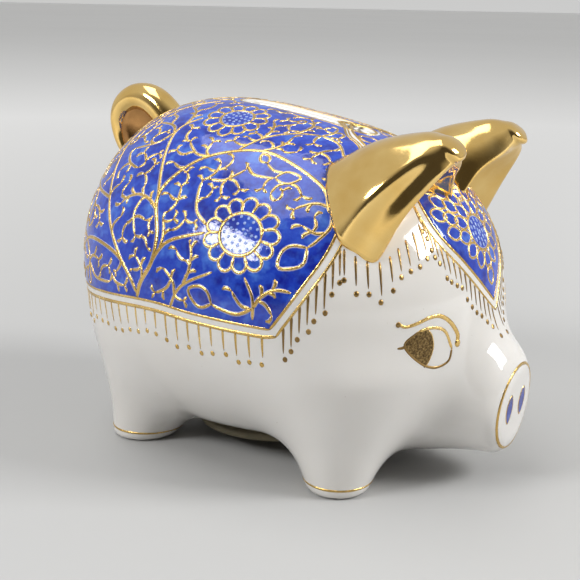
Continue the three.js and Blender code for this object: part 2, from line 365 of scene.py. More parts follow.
def even(points, step):
    """The same polyline with points at an even spacing."""
    p = np.asarray(points, float)
    s = np.concatenate([[0.0], np.cumsum(np.linalg.norm(np.diff(p, axis=0), axis=1))])
    n = max(int(round(s[-1] / step)), 2)
    t = np.linspace(0.0, s[-1], n + 1)
    return np.stack([np.interp(t, s, p[:, a]) for a in range(p.shape[1])], -1)


# Section of a stroke: place across its width, and height as a share of its own.
BEAD = ((-0.5, 0.0), (-0.26, 0.8), (0.0, 1.0), (0.26, 0.8), (0.5, 0.0))
DOT_SIDES = 10


class Strokes:
    """Collects raised strokes drawn on the skin and turns them into one mesh."""

    def __init__(self):
        self.points = []
        self.faces = []
        self.count = 0

    def add(self, curve, width, height, lift=0.0, closed=False, taper=(1.0, 1.0), step=0.8):
        p = even(curve, step)
        if closed:
            p = p[:-1]
        p = settle(skin, p, 2)
        normal = unit(gradient(skin, p))
        along = np.roll(p, -1, 0) - np.roll(p, 1, 0) if closed else np.gradient(p, axis=0)
        side = unit(np.cross(normal, along))
        n = len(p)
        w = width * np.linspace(taper[0], taper[1], n)[:, None]
        h = np.full((n, 1), height)
        if not closed:
            ends = np.minimum(np.arange(n), np.arange(n)[::-1])
            round_off = np.sqrt(np.clip((ends + 0.35) / 1.6, 0.0, 1.0))[:, None]
            w = w * round_off
            h = h * round_off
        low = p + normal * (lift - SINK)
        top = p + normal * lift
        bead = [top + side * w * u + normal * h * v for u, v in BEAD]
        rows = [low - side * w * 0.5, *bead, low + side * w * 0.5]
        m = len(rows)
        base = self.count
        self.points.append(np.stack(rows, 1).reshape(-1, 3))
        self.count += n * m
        i = np.arange(n if closed else n - 1)[:, None]
        j = np.arange(m)[None]
        a = base + i * m + j
        b = base + i * m + (j + 1) % m
        c = base + ((i + 1) % n) * m + (j + 1) % m
        d = base + ((i + 1) % n) * m + j
        self.faces += np.stack([a, d, c, b], -1).reshape(-1, 4).tolist()
        if not closed:
            self.faces.append([base + k for k in range(m)])
            self.faces.append([base + (n - 1) * m + k for k in range(m)][::-1])

    def dot(self, centre, radius, height, lift=0.0, squash=1.0):
        """Small raised dot; squash stretches it downwards."""
        centre = settle(skin, np.asarray(centre, float)[None])[0]
        normal = unit(gradient(skin, centre[None]))[0]
        down = unit(np.array([0.0, 0.0, -1.0]) + normal * normal[2])
        side = np.cross(normal, down)
        rings = []
        for r, h in ((1.0, -SINK), (1.0, 0.0), (0.8, 0.7 * height), (0.4, 0.95 * height)):
            for k in range(DOT_SIDES):
                a = 2 * math.pi * k / DOT_SIDES
                q = centre + radius * r * (side * math.cos(a) + down * math.sin(a) * squash)
                rings.append(q + normal * (lift + h))
        base = self.count
        self.points.append(np.array(rings + [centre + normal * (lift + height)]))
        self.count += len(rings) + 1
        last = base + len(rings) - DOT_SIDES
        for k in range(DOT_SIDES):
            following = (k + 1) % DOT_SIDES
            for start in range(base, last, DOT_SIDES):
                a, b = start + k, start + following
                self.faces.append([b, a, a + DOT_SIDES, b + DOT_SIDES])
            self.faces.append([last + following, last + k, base + len(rings)])
        self.faces.append([base + k for k in range(DOT_SIDES)])

    def mirror(self):
        """Adds the mirror image of everything drawn so far."""
        pts = np.concatenate(self.points)
        flip = pts * np.array([1.0, -1.0, 1.0])
        n = self.count
        self.faces += [[i + n for i in reversed(f)] for f in self.faces]
        self.points = [pts, flip]
        self.count = 2 * n

    def piece(self, name, material):
        return make_object(name, np.concatenate(self.points), self.faces, material)


# ---------------------------- enamelled regions
# Right-hand outlines, as degrees round from the snout and degrees up, seen from the middle
# of the coin chamber. The left side is their mirror image.
SADDLE_FOOT = [(180, -1.5), (145, -1.5), (105, 1.5), (85, 0.5), (61.5, -0.5)]
SADDLE_FRONT = [(61.5, -0.5), (54, 10), (46, 20.5), (35.5, 38), (23, 50), (19, 59), (0, 69)]
CAP_EDGE = [(0, 64.5), (13, 59), (19, 49), (18, 38.5), (17.5, 22.5), (10.5, 12.5), (0, 2)]
EAR_FOOT = [(45.5, 21), (36, 15.5), (27, 20), (19, 25)]


def outline(points):
    turn, rise = np.radians(catmull(points, 10)).T
    direction = np.stack([np.cos(rise) * np.cos(turn), -np.cos(rise) * np.sin(turn), np.sin(rise)], -1)
    return settle(skin, even(shoot(direction), 0.8), 2)


saddle_foot = outline(SADDLE_FOOT)
saddle_front = outline(SADDLE_FRONT)
cap_edge = outline(CAP_EDGE)


def polygon_distance(q, edge, closing):
    """Signed distance to an open edge; closing completes it to a polygon."""
    loop = np.concatenate([edge, closing])
    a, b = loop, np.roll(loop, -1, 0)
    x, y = q[:, 0], q[:, 1]
    inside = np.zeros(len(q), bool)
    for p0, p1 in zip(a, b):
        if p0[1] != p1[1]:
            hit = ((p0[1] > y) != (p1[1] > y))
            inside ^= hit & (x < (p1[0] - p0[0]) * (y - p0[1]) / (p1[1] - p0[1]) + p0[0])
    best = np.full(len(q), 1e9)
    for p0, p1 in zip(edge[:-1], edge[1:]):
        ab = p1 - p0
        t = np.clip(((q - p0) @ ab) / max(ab @ ab, 1e-9), 0.0, 1.0)
        best = np.minimum(best, np.linalg.norm(q - p0 - t[:, None] * ab, axis=1))
    return np.where(inside, -best, best)


def region(edge, closing):
    """A field over the skin, negative inside a chart outline and clear of the coin slot."""
    def field(p):
        right_half = np.stack([p[:, 0], -np.abs(p[:, 1]), p[:, 2]], -1)
        f = polygon_distance(to_chart(right_half), edge, closing)
        return np.maximum(f, SLOT_RIM - slot_distance(p))

    return field


saddle_region = region(to_chart(np.concatenate([saddle_foot[::2], saddle_front[::2]])),
                       [(24.0, 95.0), (-120.0, 95.0), (-120.0, -3.0)])
cap_region = region(to_chart(cap_edge[::2]), [(120.0, 3.0), (120.0, 95.0), (28.0, 95.0)])


# ---------------------------- vine decoration
rng = np.random.default_rng(11)
HAIR = 0.74  # width of the finest vine strokes


def ahead(curve, m):
    """Heading of a line near its point m."""
    return unit(curve[m] - curve[m - 2])


class Vine:
    """Lines drawn in the flank chart that grow until they fill a region."""

    def __init__(self, region):
        self.region = region
        self.lines = []
        self.cloud = np.zeros((0, 2))
        self.heading = np.zeros((0, 2))

    def keep(self, curve, width, taper=(1.0, 1.0)):
        curve = even(curve, 0.5)
        if len(curve) < 3:
            return
        self.lines.append((curve, width, taper))
        self.cloud = np.concatenate([self.cloud, curve])
        self.heading = np.concatenate([self.heading, unit(np.gradient(curve, axis=0))])

    def block(self, points):
        self.cloud = np.concatenate([self.cloud, points])
        self.heading = np.concatenate([self.heading, np.zeros_like(points)])

    def clear_part(self, curve, start_free, room=1.2):
        """The start of a curve up to where it would run into something."""
        other = self.cloud[np.linalg.norm(self.cloud - curve[0], axis=1) > start_free]
        gap = np.linalg.norm(curve[:, None] - other[None], axis=2).min(1)
        bad = (gap < room) | (self.region(curve) > -0.8)
        return curve[:np.argmax(bad)] if bad.any() else curve

    def hook(self, tip, direction, turn, size):
        """Short claw that leaves a line sideways and bends back along it."""
        c, s = math.cos(turn), math.sin(turn)
        d = np.array([direction[0] * c - direction[1] * s, direction[0] * s + direction[1] * c])
        middle, end = tip + d * size * 0.55 + direction * 0.45, tip + d * size - direction * 0.35
        curve = catmull([tip, middle, end], 4)
        part = self.clear_part(even(curve, 0.3), 1.3, 0.75)
        if len(part) > 3:
            self.keep(part, HAIR, (0.9, 1.45))

    def leaf(self, tip, direction, size):
        """Pointed closed leaf at the end of a frond, kept only if it has room."""
        c = np.array([-direction[1], direction[0]])
        shape = [(0.0, 0.0), (0.30, 0.30), (0.62, 0.30), (1.0, 0.04), (0.66, -0.26), (0.30, -0.26),
                 (0.0, 0.0)]
        pts = np.array([tip + direction * u * size + c * v * size for u, v in shape])
        whole = even(catmull(pts, 6), 0.4)
        part = self.clear_part(whole, 1.4, 0.8)
        fits = len(part) >= 0.97 * len(whole)
        if fits:
            self.keep(part, HAIR)
        return fits

    def sprout(self, curve, length, every):
        """Curved fronds that leave both sides of a stem in turn, like a feather."""
        heading = unit(np.gradient(curve, axis=0))
        for k, i in enumerate(range(5, len(curve) - 3, every)):
            h = heading[i]
            side = 1.0 if k % 2 else -1.0
            n = side * np.array([-h[1], h[0]])
            size = length * (0.85 + 0.3 * rng.random())
            pts = [curve[i] + size * (h * u + n * v) for u, v in
                   ((0.0, 0.0), (0.30, 0.17), (0.54, 0.48), (0.58, 0.84), (0.50, 1.02))]
            part = self.clear_part(even(catmull(pts, 8), 0.4), 2.6, 1.6)
            if len(part) < 9:
                continue
            self.keep(part, 0.82, (1.15, 0.85))
            self.hook(part[-1], ahead(part, -1), -side * 0.9, 2.4)
            for m in range(8, len(part) - 4, 7):
                self.hook(part[m], ahead(part, m), -side * 0.8, 2.7)
                self.hook(part[m - 3], ahead(part, m - 3), side * 0.9, 2.2)

    def grow(self, limit, samples):
        """Adds fronds towards the emptiest sample until no gap is wider than limit."""
        gap = np.full(len(samples), 1e9)
        known = 0
        for _ in range(900):
            new = self.cloud[known:]
            known = len(self.cloud)
            for chunk in np.array_split(new, max(len(new) // 400, 1)):
                if len(chunk):
                    away = np.linalg.norm(samples[:, None] - chunk[None], axis=2).min(1)
                    gap = np.minimum(gap, away)
            k = int(gap.argmax())
            if gap[k] < limit:
                return
            target = samples[k]
            # The frond leaves the nearest line that it can part from at a slant.
            live = np.where(np.abs(self.heading).sum(1) > 0)[0]
            to = target - self.cloud[live]
            far = np.linalg.norm(to, axis=1)
            lean = np.abs((unit(to) * self.heading[live]).sum(1))
            score = far / gap[k] + 0.9 * np.abs(lean - 0.6)
            pick = live[int(np.argmin(score))]
            base, head = self.cloud[pick], self.heading[pick]
            span = target - base
            if head @ span < 0:
                head = -head
            size = np.linalg.norm(span)
            start = unit(0.55 * head + unit(span))
            end = target + (unit(span) - 0.5 * head) * 0.3 * size
            middle = base + start * size * 0.5
            curve = even(catmull([base, middle, target, end], 8), 0.4)
            part = self.clear_part(curve, min(2.4, 0.8 * size))
            self.block(target[None])
            if len(part) < 5:
                continue
            direction = ahead(part, -1)
            self.keep(part, 0.8, (1.1, 0.85))
            if size > 3.0 and rng.random() < 0.45 and self.leaf(part[-1], direction, 0.85 * size):
                continue
            self.hook(part[-1], direction, 0.95, 2.5)
            if rng.random() < 0.5:
                self.hook(part[-1], direction, -1.05, 2.1)
            if len(part) > 13:
                m = len(part) // 2
                turn = 0.95 if rng.random() < 0.5 else -0.95
                self.hook(part[m], ahead(part, m), turn, 2.6)


def ring(centre, r, n):
    angle = np.arange(n) * 2 * math.pi / n
    return centre + r * np.stack([np.cos(angle), np.sin(angle)], -1)


def flower(vine, centre, disc, outer, petals, dots):
    """Dotted disc in a ring of looped petals."""
    centre = np.asarray(centre, float)
    circle = ring(centre, disc, 48)
    vine.lines.append((np.concatenate([circle, circle[:1]]), 0.8, (1.0, 1.0)))
    half = math.pi / petals
    for k in range(petals):
        a0 = 2 * math.pi * k / petals + 0.1
        reach = outer * (1.0 + 0.05 * math.sin(3.1 * k))
        side = [(disc + 0.1, 0.92), (disc + 0.55 * (reach - disc), 1.02), (reach - 0.5, 0.62)]
        shape = [(r, -f) for r, f in side] + [(reach, 0.0)] + side[::-1]
        pts = [centre + r * np.array([math.cos(a0 + half * f), math.sin(a0 + half * f)])
               for r, f in shape]
        vine.lines.append((catmull(pts, 6), 0.72, (1.0, 1.0)))
    for r in np.arange(0.8, outer - 0.2, 0.9):
        vine.block(ring(centre, r, max(int(r * 6), 6)))
    rim = ring(centre, outer, int(outer * 9))
    vine.cloud = np.concatenate([vine.cloud, rim])
    vine.heading = np.concatenate([vine.heading, unit(rim - centre)])
    for fraction, n in ((0.25, 5), (0.52, 9), (0.8, 14)):
        dots += list(ring(centre, disc * fraction, n) + rng.normal(0.0, 0.12, (n, 2)))


def saddle_pattern():
    """Chart lines and dots for the right half of the back."""
    vine = Vine(lambda q: saddle_region(from_chart(q)))
    dots = []
    flower(vine, (17.8, -8.4), 5.0, 8.9, 13, dots)
    flower(vine, (0.0, 26.3), 4.3, 8.3, 12, dots)
    flower(vine, to_chart(np.array([[-60.6, -0.01, 57.0]]))[0], 4.4, 8.4, 12, dots)
    stems = [
        ([(-10, -26), (-8.5, -22.5), (-5, -17.5), (-4.5, -11), (-7, -3), (-5.5, 2.5), (1, 10),
          (11, 14.5), (19, 14), (31, 7.5), (34.5, 1)], 1.1),
        ([(-6.5, -20), (-3, -14.5), (0.5, -12), (9, -9.5)], 0.95),
        ([(-10, -25), (-12.5, -21), (-18, -15.5), (-31, -10.5), (-40, -12)], 0.95),
        ([(-14.5, -19), (-22, -6), (-27, 12), (-25, 21), (-12, 34)], 0.9),
        ([(-7, -2), (-11, 11), (-12, 18), (-8.5, 23.5)], 0.85),
        ([(-23.5, -2), (-31, 2), (-38, 9), (-42, 18)], 0.8),
        ([(-33, -10.5), (-42, -4), (-50, 2)], 0.8),
        ([(8, 14), (12.5, 20.5), (18.5, 24.5), (24.5, 26)], 0.8),
        ([(1, -28), (4.5, -22.5), (13, -18)], 0.75),
        ([(24, -26), (23.5, -21.5), (21, -17.5)], 0.75),
    ]
    kept = []
    for points, width in stems:
        curve = even(catmull(points, 10), 0.5)
        inside = vine.region(curve) < 0.3
        vine.keep(curve[inside], width, (1.1, 0.8))
        kept.append(curve[inside])
    for curve in kept:
        vine.sprout(curve, 10.0, 8)
    s, t = np.meshgrid(np.arange(-72.0, 44.0, 1.2), np.arange(-34.0, 50.0, 1.2), indexing="ij")
    grid = np.stack([s.ravel(), t.ravel()], -1)
    grid = grid[np.linalg.norm(grid, axis=1) < 78.0]
    p = from_chart(grid)
    ok = (saddle_region(p) < -2.0) & (p[:, 1] < -1.0)
    vine.grow(2.15, grid[ok])
    return vine.lines, dots


def to_right(curve):
    """Keeps the part of a 3-D curve on the right-hand side."""
    return curve[curve[:, 1] <= 0.05]


def down_along(p):
    n = unit(gradient(skin, p))
    return unit(np.array([0.0, 0.0, -1.0]) + n * n[..., 2:3])


def sideways(curve, distance, outward):
    """A curve offset across the skin, away from a point inside it."""
    n = unit(gradient(skin, curve))
    side = unit(np.cross(n, np.gradient(curve, axis=0)))
    flip = np.sign((side * (curve - outward)).sum(-1, keepdims=True).sum())
    return settle(skin, curve + side * flip * distance, 3)


def fringe(strokes, curve, spacing, length, seed):
    """Fine strokes hanging from a border, each with a dot below it."""
    noise = np.random.default_rng(seed)
    starts = even(curve, spacing)[1:-1]
    for p in settle(skin, starts, 2):
        size = length * (1.0 + 0.1 * noise.normal())
        path = [p]
        for _ in range(10):
            path.append(settle(skin, (path[-1] + down_along(path[-1][None])[0] * size / 10)[None], 1)[0])
        strokes.add(np.array(path), 0.66, 0.1, taper=(1.15, 0.5), step=0.7)
        end = path[-1] + down_along(path[-1][None])[0] * (1.5 + 0.3 * noise.normal())
        end = end + np.array([0.25, 0.0, 0.0]) * noise.normal()
        strokes.dot(end, 0.62, 0.16, squash=1.15)


def face_points(yz):
    """Points on the front of the head at given (y, z) places."""
    yz = np.asarray(yz, float)
    direction = np.tile([1.0, 0.0, 0.0], (len(yz), 1))
    return reach(np.concatenate([np.zeros((len(yz), 1)), yz], 1), direction, 72.0, 70)


# ---------------------------- materials
class Finish:
    """A Principled material fed by noise in the object's own coordinates."""

    def __init__(self, name):
        self.material = bpy.data.materials.new(name)
        self.material.use_nodes = True
        self.tree = self.material.node_tree
        self.shader = self.tree.nodes["Principled BSDF"]
        self.place = self.tree.nodes.new("ShaderNodeTexCoord").outputs["Object"]

    def feed(self, node, values):
        """Gives a node's inputs numbers, colours or other nodes' outputs."""
        for socket, value in values.items():
            if isinstance(value, bpy.types.NodeSocket):
                self.tree.links.new(value, node.inputs[socket])
            else:
                node.inputs[socket].default_value = value

    def node(self, kind, output, values):
        node = self.tree.nodes.new("ShaderNode" + kind)
        self.feed(node, values)
        return node.outputs[output]

    def noise(self, scale, detail=3.0, roughness=0.5):
        return self.node("TexNoise", "Fac", {"Scale": scale, "Detail": detail,
                                             "Roughness": roughness, "Vector": self.place})

    def ramp(self, value, *stops):
        colour = self.node("ValToRGB", "Color", {"Fac": value})
        elements = colour.node.color_ramp.elements
        while len(elements) < len(stops):
            elements.new(0.5)
        for element, (place, rgb) in zip(elements, stops):
            element.position = place
            element.color = (*rgb, 1.0)
        return colour

    def spread(self, value, low, high):
        return self.node("MapRange", "Result", {"Value": value, "To Min": low, "To Max": high})

    def mix(self, mode, amount, a, b):
        colour = self.node("MixRGB", "Color", {"Fac": amount, "Color1": a, "Color2": b})
        colour.node.blend_type = mode
        return colour

    def bump(self, height, strength, distance):
        return self.node("Bump", "Normal", {"Height": height, "Strength": strength,
                                            "Distance": distance})

    def done(self, values):
        self.feed(self.shader, values)
        return self.material


def porcelain_material():
    """Warm white body with a few iron specks, under a glossy, slightly wavy glaze."""
    f = Finish("glazed_porcelain")
    tone = f.ramp(f.noise(28.0, 2.0), (0.3, (0.72, 0.695, 0.655)), (0.7, (0.77, 0.75, 0.72)))
    specks = f.ramp(f.noise(900.0, 2.0, 0.6), (0.74, (1.0, 1.0, 1.0)), (0.80, (0.62, 0.58, 0.52)))
    return f.done({
        "Base Color": f.mix("MULTIPLY", 0.5, tone, specks),
        "Roughness": f.spread(f.noise(60.0), 0.05, 0.11),
        "Normal": f.bump(f.noise(70.0, 2.0), 0.10, 0.0006),
        "IOR": 1.52, "Coat Weight": 0.5, "Coat Roughness": 0.03,
        "Subsurface Weight": 0.12, "Subsurface Radius": (0.9, 0.75, 0.6), "Subsurface Scale": 0.002,
    })


def enamel_material(name, dark, deep, pale):
    """Brushed-on enamel: pooled, uneven colour under gloss."""
    f = Finish(name)
    pools = f.ramp(f.noise(190.0), (0.36, dark), (0.47, deep), (0.56, deep), (0.68, pale))
    wash = f.ramp(f.noise(520.0, 3.0, 0.6), (0.38, dark), (0.66, pale))
    return f.done({
        "Base Color": f.mix("MIX", 0.2, pools, wash),
        "Roughness": f.spread(f.noise(300.0), 0.04, 0.12),
        "Normal": f.bump(f.noise(380.0), 0.22, 0.0004),
        "IOR": 1.45, "Coat Weight": 0.15, "Coat Roughness": 0.04,
    })


def gold_material(name, dark, light, rough, grain, depth):
    """Fired gold, uneven in tone, with brush or burnishing marks of a given grain."""
    f = Finish(name)
    return f.done({
        "Base Color": f.ramp(f.noise(120.0), (0.3, dark), (0.7, light)),
        "Roughness": f.spread(f.noise(grain, 4.0, 0.6), *rough),
        "Normal": f.bump(f.noise(grain * 1.3), depth, 0.0004),
        "Metallic": 1.0,
    })


def iris_material():
    """Gold stippled over black."""
    f = Finish("iris_gold")
    return f.done({
        "Base Color": f.ramp(f.noise(1900.0, 4.0, 0.7), (0.38, (0.07, 0.042, 0.016)),
                             (0.55, (0.22, 0.14, 0.05)), (0.72, (0.50, 0.36, 0.15))),
        "Roughness": f.spread(f.noise(900.0), 0.25, 0.5),
        "Normal": f.bump(f.noise(1500.0), 0.6, 0.0004),
        "Metallic": 0.8,
    })


def rubber_material():
    """Matt olive-brown moulded rubber."""
    f = Finish("stopper_rubber")
    return f.done({
        "Base Color": f.ramp(f.noise(180.0, 4.0), (0.3, (0.13, 0.11, 0.065)), (0.7, (0.21, 0.18, 0.11))),
        "Roughness": f.spread(f.noise(400.0), 0.45, 0.62),
        "Normal": f.bump(f.noise(900.0), 0.25, 0.0003),
    })


def floor_material():
    """Plain pale studio paper, painted darker round the bank and paler away from it: painted shade near the
    bank and painted light farther off.
    """
    f = Finish("studio_floor")
    away = f.tree.nodes.new("ShaderNodeVectorMath")
    away.operation = "LENGTH"
    f.tree.links.new(f.place, away.inputs[0])
    # Painted shade round the bank and painted light farther away, standing in for the lamps' fall-off.
    painted_light_sweep = f.ramp(away.outputs["Value"], (0.12, (0.46, 0.46, 0.455)), (0.90, (0.92, 0.92, 0.915)))
    mottle = f.ramp(f.noise(1.2, 2.0), (0.3, (0.97, 0.97, 0.97)), (0.7, (1.0, 1.0, 1.0)))
    return f.done({"Base Color": f.mix("MULTIPLY", 1.0, painted_light_sweep, mottle),
                   "Roughness": f.spread(f.noise(8.0), 0.6, 0.75)})


PORCELAIN = porcelain_material()
BLUE = enamel_material("cobalt_enamel", (0.008, 0.016, 0.27), (0.014, 0.050, 0.46), (0.066, 0.185, 0.64))
HALO = enamel_material("enamel_edge", (0.26, 0.28, 0.58), (0.36, 0.38, 0.64), (0.52, 0.54, 0.74))
SEED = enamel_material("flower_seed", (0.20, 0.30, 0.66), (0.28, 0.38, 0.72), (0.40, 0.50, 0.78))
NOSTRIL = enamel_material("nostril_enamel", (0.006, 0.012, 0.16), (0.012, 0.030, 0.30), (0.06, 0.13, 0.48))
LINE_GOLD = gold_material("painted_gold", (0.56, 0.36, 0.10), (0.88, 0.62, 0.24), (0.18, 0.34), 700.0, 0.5)
MIRROR_GOLD = gold_material("burnished_gold", (0.84, 0.54, 0.16), (0.94, 0.66, 0.25), (0.07, 0.15), 160.0,
                            0.12)
DARK_GOLD = gold_material("fired_gold", (0.22, 0.135, 0.05), (0.46, 0.30, 0.11), (0.22, 0.38), 700.0, 0.5)
# Gold darkened to paint the shade and dark reflections deep in the tail's curl.
SHADE_PAINTED_GOLD = gold_material("gold_painted_shade", (0.20, 0.095, 0.035), (0.42, 0.22, 0.08), (0.10, 0.2), 200.0, 0.15)
IRIS = iris_material()
RUBBER = rubber_material()


# ---------------------------- pieces
def on_bank(piece, slot, *nodes):
    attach(piece, "bank")
    if nodes:
        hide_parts(*nodes)


SHELL_CELL, SKIN_CELL = 1.3, 1.05  # grid spacings of the meshes
body_x = steps(-63.0, 67.0, SHELL_CELL, (SLOT_X0 - 2.5, SLOT_X0 + 3.5, 0.5),
               (SLOT_X1 - 3.5, SLOT_X1 + 2.5, 0.5))
body_y = mirrored(steps(0.0, 50.5, SHELL_CELL, (0.0, 5.2, 0.45)))
body_z = steps(-1.3, 94.0, SHELL_CELL, (-1.3, 6.8, 0.6), (81.0, 92.5, 0.55))
body_points, body_quads = net(shell, body_x, body_y, body_z)
body_points = settle(shell, body_points, 3)
on_bank(make_object("porcelain_body", body_points, body_quads, PORCELAIN), "porcelain", "body_shell")

# A finer net of the skin alone carries the coatings.
skin_points, skin_quads = net(skin, steps(-64.0, 67.0, SKIN_CELL), mirrored(steps(0.0, 50.5, SKIN_CELL)),
                              steps(14.0, 94.0, SKIN_CELL))
skin_points = settle(skin, skin_points, 3)
skin_tris = np.concatenate([skin_quads[:, [0, 1, 2]], skin_quads[:, [0, 2, 3]]])


def enamel_patch(name, field, material, height):
    points, tris = clip(skin_points, skin_tris, field(skin_points))
    points = settle(skin, points, 1)
    top, faces = thick_patch(points, tris, -field(points), height)
    on_bank(make_object(name, top, faces, material), "porcelain")


ENAMEL = 0.16
enamel_patch("enamel_saddle", saddle_region, BLUE, ENAMEL)
enamel_patch("enamel_cap", cap_region, BLUE, ENAMEL)

# Borders: two gold lines with bare porcelain between them, and the fringe.
BAND = 2.1
inside_point = np.array([-6.0, -30.0, 75.0])
borders = Strokes()
foot_out = to_right(sideways(saddle_foot, BAND, inside_point))
front_visible = saddle_front[saddle_front[:, 2] < 66.0]
front_out = sideways(front_visible, BAND, inside_point)
corner = settle(skin, (saddle_foot[-1] + np.array([1.6, 0.0, -1.7]))[None], 3)
outer_foot = np.concatenate([foot_out[:-2], corner])
outer_front = np.concatenate([corner, front_out[3:]])
borders.add(saddle_foot, 0.8, 0.2)
borders.add(saddle_front, 0.8, 0.2)
borders.add(outer_foot, 0.9, 0.18)
borders.add(outer_front, 0.66, 0.16)
borders.add(sideways(saddle_front[saddle_front[:, 2] > 79.0], 0.9, inside_point), 0.5, 0.14)
cap_front = cap_edge[cap_edge[:, 0] > 39.0]
borders.add(cap_edge, 0.8, 0.2)
cap_out = to_right(sideways(cap_front, 2.0, np.array([45.0, 0.0, 75.0])))
tip = settle(skin, (cap_edge[-1] + np.array([0.6, 0.0, -2.5]))[None], 3)
outer_cap = np.concatenate([cap_out[:-1], tip])
borders.add(outer_cap, 0.62, 0.16)
fringe(borders, outer_foot, 3.45, 5.7, 3)
fired = Strokes()
fringe(fired, outer_front, 3.1, 7.0, 4)
fringe(fired, outline(EAR_FOOT), 2.9, 6.6, 5)
fringe(fired, outer_cap, 2.5, 5.4, 6)

# Eye, brow and their fine outlines, in (y, z) on the front of the head.
EYE = [(-29.5, 40.0), (-26.5, 43.0), (-23.0, 43.5), (-19.5, 42.0), (-17.5, 37.5), (-18.5, 34.5),
       (-22.0, 33.5), (-26.0, 35.5)]
IRIS_SIDE = [(-24.5, 43.5), (-23.0, 41.5), (-22.5, 38.5), (-23.5, 35.5), (-25.0, 33.5)]
borders.add(face_points(catmull(EYE[1:5], 8)), 0.9, 0.13, taper=(0.9, 0.9), step=0.5)
fired.add(face_points(catmull(EYE[4:] + EYE[:2], 8)), 0.66, 0.12, step=0.5)
EYE_CORNER = [(-31.0, 39.5), (-30.0, 39.5), (-29.0, 40.0)]
fired.add(face_points(EYE_CORNER), 0.85, 0.12, taper=(0.7, 1.0), step=0.4)
borders.add(face_points(catmull(IRIS_SIDE, 8)[2:-2]), 0.36, 0.1, step=0.5)
BROW = [(-31.0, 45.5), (-29.5, 44.5), (-27.0, 45.0), (-24.0, 46.0), (-21.0, 46.0), (-18.0, 44.0),
        (-16.0, 41.0), (-16.0, 39.0)]
borders.add(face_points(catmull(BROW, 8)), 1.05, 0.16, taper=(0.7, 1.2), step=0.5)
borders.dot(face_points([(-16.0, 38.6)])[0], 0.85, 0.2, squash=1.2)
fired.dot(face_points([(-30.9, 45.2)])[0], 0.7, 0.2)

# Nostrils and the rings round the legs.
NOSTRIL_SHAPE = [(0.4, 3.6), (1.9, 1.2), (1.7, -1.6), (-0.2, -3.7), (-1.8, -1.2), (-1.5, 1.7)]


def nostril(y0, z0):
    return catmull([(y0 + y, z0 + z) for y, z in NOSTRIL_SHAPE], 8, closed=True)


near_nostril, far_nostril = nostril(-5.0, 20.4), nostril(3.4, 20.6)


def leg_ring(pair):
    """Gold ring just above the sole of the right leg of a pair."""
    angle = np.linspace(0.0, 2 * math.pi, 60)
    outwards = np.stack([np.cos(angle), np.sin(angle), np.zeros(60)], -1)
    return reach(np.array([pair["x"] + SHIFT[0], -pair["y"], 2.5]), outwards, 3.0)[:-1]


for pair in (FRONT_LEG, REAR_LEG):
    borders.add(leg_ring(pair), 0.6, 0.12, closed=True, step=0.6)
borders.mirror()
fired.mirror()
on_bank(fired.piece("gold_fringe", DARK_GOLD), "gilding")
angle = np.linspace(0.0, 2 * math.pi, 72, endpoint=False)
SNOUT_RING = 10.9
snout_ring = np.stack([SNOUT_RING * np.cos(angle), SNOUT["z"] + SNOUT_RING * np.sin(angle)], -1)
borders.add(face_points(snout_ring), 0.8, 0.14, closed=True, step=0.6)
for shape in (near_nostril, far_nostril):
    borders.add(face_points(shape), 0.4, 0.12, closed=True, step=0.4)
slot_ring = []
out = SLOT_HALF + SLOT_RIM
for a in np.linspace(0.0, 2 * math.pi, 140, endpoint=False):
    end = SLOT_X1 - SLOT_HALF if math.cos(a) > 0 else SLOT_X0 + SLOT_HALF
    slot_ring.append((end + out * math.cos(a), out * math.sin(a), 88.0))
borders.add(settle(skin, np.array(slot_ring), 6), 0.7, 0.16, closed=True, step=0.7)
on_bank(borders.piece("gold_borders", LINE_GOLD), "gilding")

# Vine and flowers over the back.
pattern_lines, pattern_dots = saddle_pattern()
gold = Strokes()
halo = Strokes()
seeds = Strokes()


def inlay(curve, width, margin, height=0.16, **options):
    """A gold line on the enamel, in a slightly wider pale halo."""
    gold.add(curve, width, height, ENAMEL, **options)
    halo.add(curve, width + margin, 0.03, ENAMEL - 0.01, **options)


for curve, width, taper in pattern_lines:
    p = from_chart(curve)
    keep = (p[:, 1] <= 0.05) & (saddle_region(p) < 0.4)
    if keep.sum() < 3:
        continue
    runs = np.split(np.arange(len(p)), np.where(np.diff(keep.astype(int)) != 0)[0] + 1)
    for run in runs:
        if keep[run[0]] and len(run) > 2:
            inlay(p[run], width, 0.42, taper=taper)
for q in pattern_dots:
    p = from_chart(q[None])[0]
    if p[1] < -0.4 and saddle_region(p[None])[0] < -0.6:
        seeds.dot(p, 0.42, 0.16, 0.14)

# Forehead: a flower with rows of pointed scales round it.
cap_centre = settle(skin, np.array([[50.4, 0.0, 62.6]]), 4)[0]
cap_normal = unit(gradient(skin, cap_centre[None]))[0]
cap_up = unit(np.array([0.0, 0.0, 1.0]) - cap_normal * cap_normal[2])
cap_side = np.cross(cap_up, cap_normal)


HEAD_RADIUS = 37.5


def on_cap(q):
    """Points of the forehead at (across, up) distances from the flower's middle."""
    q = np.asarray(q, float)
    p = cap_centre + q[:, :1] * cap_side + q[:, 1:] * cap_up
    p = p - cap_normal * (q ** 2).sum(1, keepdims=True) / (2.0 * HEAD_RADIUS)
    return settle(skin, p, 5)


